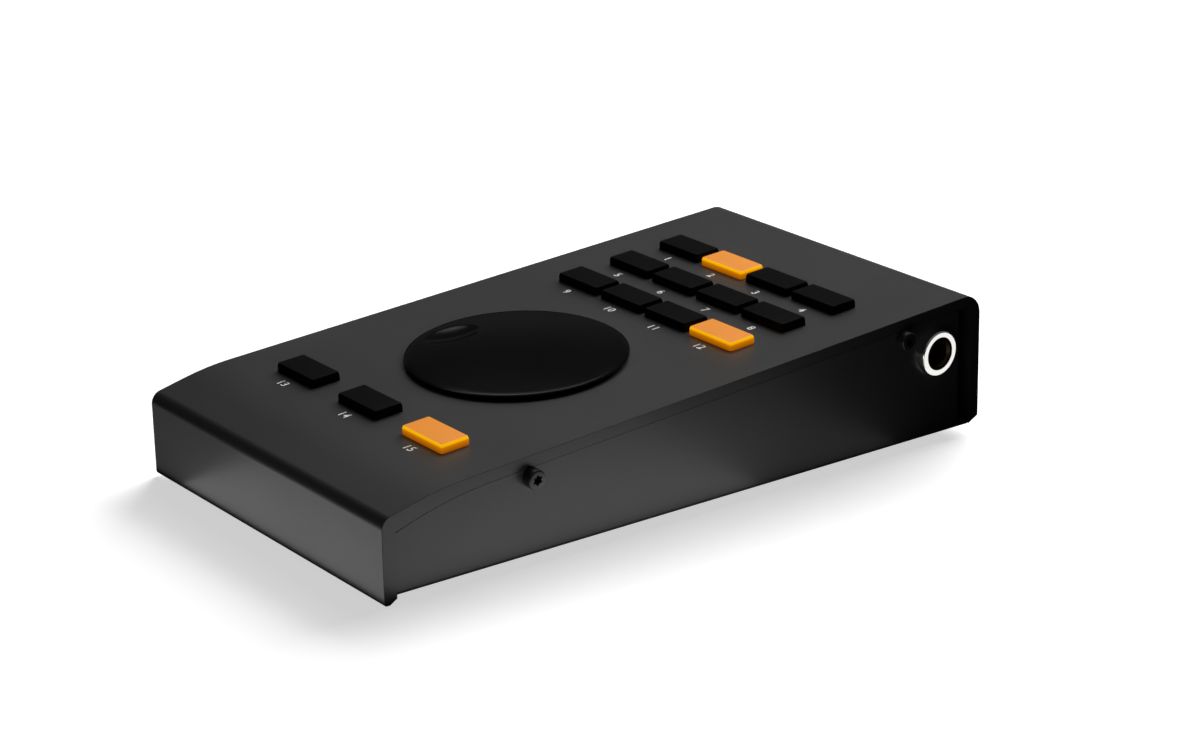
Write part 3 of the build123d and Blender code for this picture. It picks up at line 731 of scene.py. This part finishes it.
screw_levels = {
    "Shank end": (screw_shank, screw_shank, -screw_length),
    "Shank top": (screw_shank, screw_shank, 0.0),
    "Head foot": (screw_head, screw_head, 0.0),
}
for step in range(round_steps + 1):
    angle = radians(90) * step / round_steps
    across = screw_head - 2 * screw_head_round * (1 - cos(angle))
    rise = screw_head_height - screw_head_round * (1 - sin(angle))
    screw_levels[f"Head round {step}"] = (across, across, rise)
screw_seats = []
for middle in solids_of("side_screws"):
    side = 1.0 if middle.x > 0 else -1.0
    screw_seats.append((Vector((side * body_half_width, middle.y, middle.z)),
                        (0.0, radians(90) * side, 0.0)))
black_oxide = skin("black_screw", (0.018, 0.018, 0.018), 0.38, grain=4000.0, bump=0.15, metallic=0.3)
screw_tree = make_screw_tree(list(screw_levels))
screws = grown(screw_tree, screw_seats, black_oxide,
               {"Recess radius": recess_radius, "Recess valley": recess_valley,
                "Recess depth": recess_depth, **screw_levels})
piece(screws, "cap_screws", black_oxide, "housing", "black_screw", "side_screws")

# Feet
# Four round rubber feet with an eased lower edge and a shallow dished sole. Their sticky backs hold
# them under the tray.
foot_diameter = 10.0 * mm
foot_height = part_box("rubber_feet")[1].z
foot_round = 0.6 * mm
foot_dish = 6.0 * mm
foot_dish_depth = 0.3 * mm


def make_foot_tree(labels):
    """Geometry tree of one foot, raised from its top face down to the sole."""
    tree, entry = open_tree("stuck_foot", labels)
    size = add(tree, "ShaderNodeSeparateXYZ", {0: entry[labels[0]]}).outputs
    radius = add(tree, "ShaderNodeMath", {0: size[0], 1: 0.5}, operation="MULTIPLY")
    plan = add(tree, "GeometryNodeCurvePrimitiveCircle", {"Resolution": 48, "Radius": radius.outputs[0]})
    close_tree(tree, entry, stacked(tree, entry, plan.outputs[0], labels))
    return tree


foot_levels = {"Top": (foot_diameter, foot_diameter, 0.0)}
for step in range(round_steps + 1):
    angle = radians(90) * step / round_steps
    across = foot_diameter - 2 * foot_round * (1 - cos(angle))
    rise = foot_height - foot_round * (1 - sin(angle))
    foot_levels[f"Sole round {step}"] = (across, across, rise)
dish_floor = foot_dish - 2 * foot_dish_depth
foot_levels["Sole dish edge"] = (foot_dish, foot_dish, foot_height)
foot_levels["Sole dish"] = (dish_floor, dish_floor, foot_height - foot_dish_depth)
foot_seats = [(Vector((middle.x, middle.y, foot_height)), (pi, 0.0, 0.0))
              for middle in solids_of("rubber_feet")]
rubber = skin("foot_rubber", (0.02, 0.02, 0.02), 0.85, grain=1800.0, bump=0.5, specular=0.2)
feet = grown(make_foot_tree(list(foot_levels)), foot_seats, rubber, foot_levels)
piece(feet, "stick_on_feet", rubber, "housing", "foot_rubber", "rubber_feet")

# Studio
# A pale floor, soft lights behind and overhead, pale cards that light the front and the right side
# from the floor, one light for the wheel and one for the ring nut alone, and the camera.
floor_size = 6.0


def area_light(name, place, aim, width, height, power):
    """A soft rectangular light that faces a point."""
    light = bpy.data.lights.new(name, "AREA")
    light.shape = "RECTANGLE"
    light.size = width
    light.size_y = height
    light.energy = power
    lamp = bpy.data.objects.new(name, light)
    lamp.location = place
    lamp.rotation_euler = (Vector(aim) - Vector(place)).to_track_quat("-Z", "Y").to_euler()
    bpy.context.collection.objects.link(lamp)
    return lamp


floor_mesh = bpy.data.meshes.new("floor")
half = floor_size / 2
corners = [(-half, -half, 0), (half, -half, 0), (half, half, 0), (-half, half, 0)]
floor_mesh.from_pydata(corners, [], [(0, 1, 2, 3)])
floor = bpy.data.objects.new("floor", floor_mesh)
bpy.context.collection.objects.link(floor)
paper = skin("floor_paper", (0.55, 0.55, 0.55), 0.9, grain=400.0, bump=0.0, specular=0.0,
             colour_spread=0.0, roughness_spread=0.0)
paper_shader = paper.node_tree.nodes["Principled BSDF"]
paper_shader.inputs["Emission Color"].default_value = (1.0, 1.0, 1.0, 1.0)
paper_shader.inputs["Emission Strength"].default_value = 0.6
floor_mesh.materials.append(paper)
floor.visible_diffuse = False
floor.visible_glossy = False

fill = area_light("back_softbox", (-0.5, 1.1, 0.85), (0.0, 0.0, 0.03), 1.2, 1.0, 50.0)
fill.visible_glossy = False
area_light("overhead_softbox", (-0.45, 0.35, 0.9), (0.0, 0.0, 0.03), 0.5, 0.4, 1.6)
rim = area_light("rim_softbox", (-0.5, 0.03, 0.9), (0.0, -0.02, 0.03), 0.6, 0.15, 1.3)
card_sizes = (
    ("front_card", (0.015, -0.12, 0.001), 0.11, 0.04, 0.02),
    ("front_left_card", (-0.09, -0.12, 0.001), 0.1, 0.04, 0.0045),
    ("side_card", (0.09, -0.035, 0.001), 0.07, 0.115, 0.037),
    ("side_rear_card", (0.09, 0.0475, 0.001), 0.07, 0.05, 0.0042),
    ("jack_card", (0.115, 0.135, 0.001), 0.13, 0.13, 0.052),
)
cards = {}
for name, place, width, depth, power in card_sizes:
    cards[name] = area_light(name, place, (place[0], place[1], 1.0), width, depth, power)
    cards[name].visible_camera = False
for lamp, made in ((cards["jack_card"], ring_nut), (rim, wheel)):
    lamp.light_linking.receiver_collection = bpy.data.collections.new("lit_by_" + lamp.name)
    lamp.light_linking.receiver_collection.objects.link(made)

world = bpy.data.worlds.new("studio")
world.use_nodes = True
bpy.context.scene.world = world
sky = world.node_tree.nodes["Background"]
sky.inputs["Color"].default_value = (1.0, 1.0, 1.0, 1.0)
rays = add(world.node_tree, "ShaderNodeLightPath").outputs
direction = add(world.node_tree, "ShaderNodeTexCoord").outputs["Generated"]
height = add(world.node_tree, "ShaderNodeSeparateXYZ", {0: direction}).outputs[2]
glow = add(world.node_tree, "ShaderNodeValToRGB", {0: height})
stops = glow.color_ramp.elements
stops[0].position, stops[0].color = 0.16, (0.004, 0.004, 0.004, 1.0)
stops[1].position, stops[1].color = 1.0, (0.12, 0.12, 0.12, 1.0)
for position, level in ((0.25, 0.13), (0.31, 0.115), (0.45, 0.034), (0.62, 0.105)):
    stops.new(position).color = (level, level, level, 1.0)
shine = add(world.node_tree, "ShaderNodeMapRange",
            {"Value": rays["Is Glossy Ray"], "To Min": 0.012, "To Max": glow.outputs[0]})
sky_level = add(world.node_tree, "ShaderNodeMapRange",
                {"Value": rays["Is Camera Ray"], "To Min": shine.outputs[0], "To Max": 1.0})
world.node_tree.links.new(sky_level.outputs[0], sky.inputs["Strength"])

camera_place = Vector((0.53036, -0.43853, 0.27342))
camera_azimuth = radians(49.987)
camera_elevation = radians(19.91)
camera_roll = radians(1.679)
camera_lens = 83.81
backward = Vector((sin(camera_azimuth) * cos(camera_elevation),
                   -cos(camera_azimuth) * cos(camera_elevation), sin(camera_elevation)))
rightward = (-backward).cross(Vector((0.0, 0.0, 1.0))).normalized()
upward = backward.cross(rightward)
tilted_right = cos(camera_roll) * rightward + sin(camera_roll) * upward
tilted_up = cos(camera_roll) * upward - sin(camera_roll) * rightward
lens = bpy.data.cameras.new("photo_camera")
lens.lens = camera_lens
lens.sensor_width = 36.0
lens.sensor_fit = "HORIZONTAL"
lens.clip_start = 0.01
camera = bpy.data.objects.new("photo_camera", lens)
camera.matrix_world = Matrix.Translation(camera_place) @ Matrix(
    (tilted_right, tilted_up, backward)).transposed().to_4x4()
bpy.context.collection.objects.link(camera)
bpy.context.scene.camera = camera
bpy.context.scene.view_settings.view_transform = "Standard"
